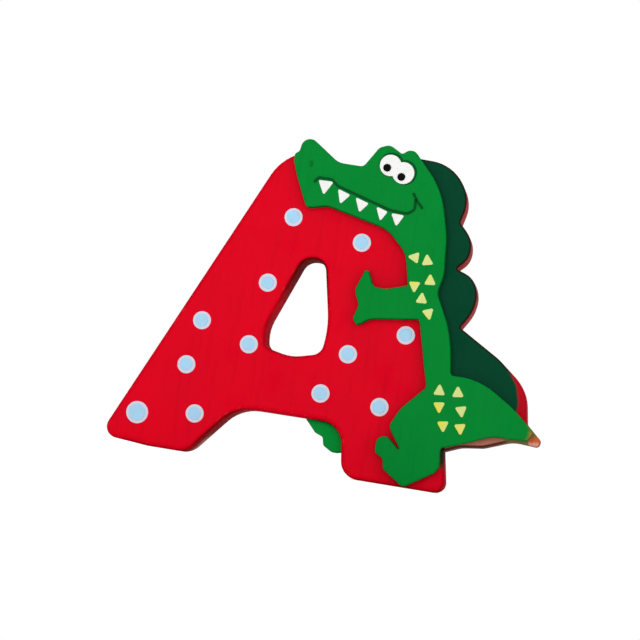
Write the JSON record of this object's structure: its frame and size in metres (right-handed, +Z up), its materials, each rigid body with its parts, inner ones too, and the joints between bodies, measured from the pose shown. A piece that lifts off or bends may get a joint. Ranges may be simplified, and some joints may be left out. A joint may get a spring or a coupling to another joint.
{
  "type": "wooden nursery letter",
  "caption": "Painted wooden letter A with a crocodile hugging one leg, to stand on a shelf or stick to a door by its flat back.",
  "frame": {"origin": "on the surface that the feet stand on, under the middle of the whole letter", "axes": "+X to the right across the letter, +Y from the painted front to the flat back, +Z up"},
  "size_m": [0.1038, 0.012, 0.0802],
  "materials": {
    "red_paint": "gloss paint on wood",
    "dark_green_paint": "satin paint on wood, edges red",
    "light_green_paint": "satin paint on wood",
    "bare_wood": "plain beech",
    "pale_print": "printed paint film",
    "blue_print": "printed paint film",
    "white_print": "printed paint film",
    "black_print": "printed paint film",
    "dark_print": "printed paint film",
    "yellow_print": "printed paint film"
  },
  "bodies": {
    "root": {"letter_board": "red_paint", "crest_board": "dark_green_paint", "crocodile_plate": "light_green_paint", "rear_foot": "light_green_paint", "crest_dowels": "bare_wood", "rear_foot_dowel": "bare_wood", "dot_rings": "pale_print", "eye_outline": "dark_print", "eye_whites": "white_print", "pupil_left": "black_print", "pupil_right": "black_print", "mouth_line": "dark_print", "cheek_crease": "dark_print", "nostril": "dark_print", "dot_01": "blue_print", "dot_02": "blue_print", "dot_03": "blue_print", "dot_04": "blue_print", "dot_05": "blue_print", "dot_06": "blue_print", "dot_07": "blue_print", "dot_08": "blue_print", "dot_09": "blue_print", "dot_10": "blue_print", "dot_11": "blue_print", "dot_12": "blue_print", "scale_01": "yellow_print", "scale_02": "yellow_print", "scale_03": "yellow_print", "scale_04": "yellow_print", "scale_05": "yellow_print", "scale_06": "yellow_print", "scale_07": "yellow_print", "scale_08": "yellow_print", "scale_09": "yellow_print", "scale_10": "yellow_print", "scale_11": "yellow_print", "scale_12": "yellow_print", "tooth_01": "white_print", "tooth_02": "white_print", "tooth_03": "white_print", "tooth_04": "white_print", "tooth_05": "white_print"}
  },
  "joints": []
}
